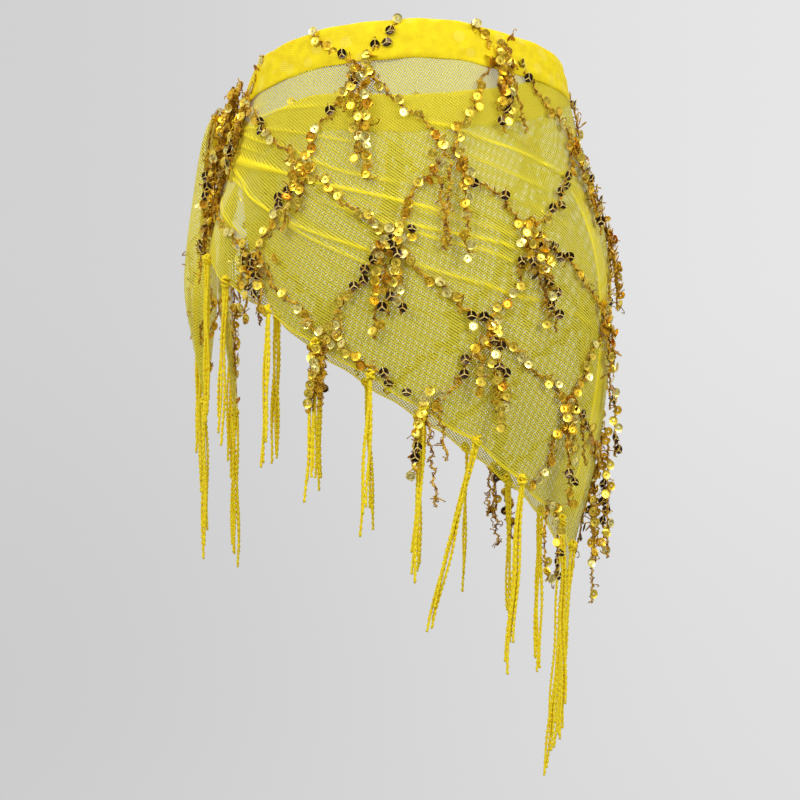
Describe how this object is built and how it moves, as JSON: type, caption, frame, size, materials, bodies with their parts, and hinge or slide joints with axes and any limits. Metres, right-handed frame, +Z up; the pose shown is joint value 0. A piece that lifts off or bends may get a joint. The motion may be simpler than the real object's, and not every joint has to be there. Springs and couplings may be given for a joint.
{
  "type": "belly dance hip scarf",
  "caption": "Triangular net hip scarf in its worn form, knotted at a hip, with its point at the other hip, sequin strings and yarn tassels.",
  "frame": {"origin": "middle of the waistband's ring, at the band's middle height at the hips", "axes": "+Z up out of the waist; -Y the wearer's back; +X the hip where the scarf's point hangs; -X the hip with the knot"},
  "size_m": [0.3721, 0.2557, 0.632],
  "materials": {
    "net": "soft sheer yellow net, see-through between its threads",
    "band": "the same yellow net in several rolled layers, nearly opaque",
    "yarn": "matt crimped yellow yarn",
    "sequins": "mirror gold sequins of metallised film",
    "cord": "ochre chain-stitch thread"
  },
  "bodies": {
    "root": {"net_gather_back": "net", "net_back": "net", "net_point": "net", "net_front": "net", "net_gather_front": "net", "band_back": "band", "band_side": "band", "band_front": "band", "knot": "net", "tassel_hem_01": "yarn", "tassel_hem_02": "yarn", "tassel_hem_03": "yarn", "tassel_hem_04": "yarn", "tassel_hem_05": "yarn", "tassel_hem_06": "yarn", "tassel_hem_07": "yarn", "tassel_hem_08": "yarn", "tassel_hem_09": "yarn", "tassel_hem_10": "yarn", "tassel_hem_11": "yarn", "tassel_hem_12": "yarn", "tassel_hem_13": "yarn", "tassel_hem_14": "yarn", "tassel_hem_15": "yarn", "tassel_hem_16": "yarn", "tassel_hem_17": "yarn", "tassel_hem_18": "yarn", "tassel_hem_19": "yarn", "tail_back": "net", "tassel_tail_back_1": "yarn", "tassel_tail_back_2": "yarn", "tassel_tail_back_3": "yarn", "tail_front": "net", "tassel_tail_front_1": "yarn", "tassel_tail_front_2": "yarn"}
  },
  "joints": []
}
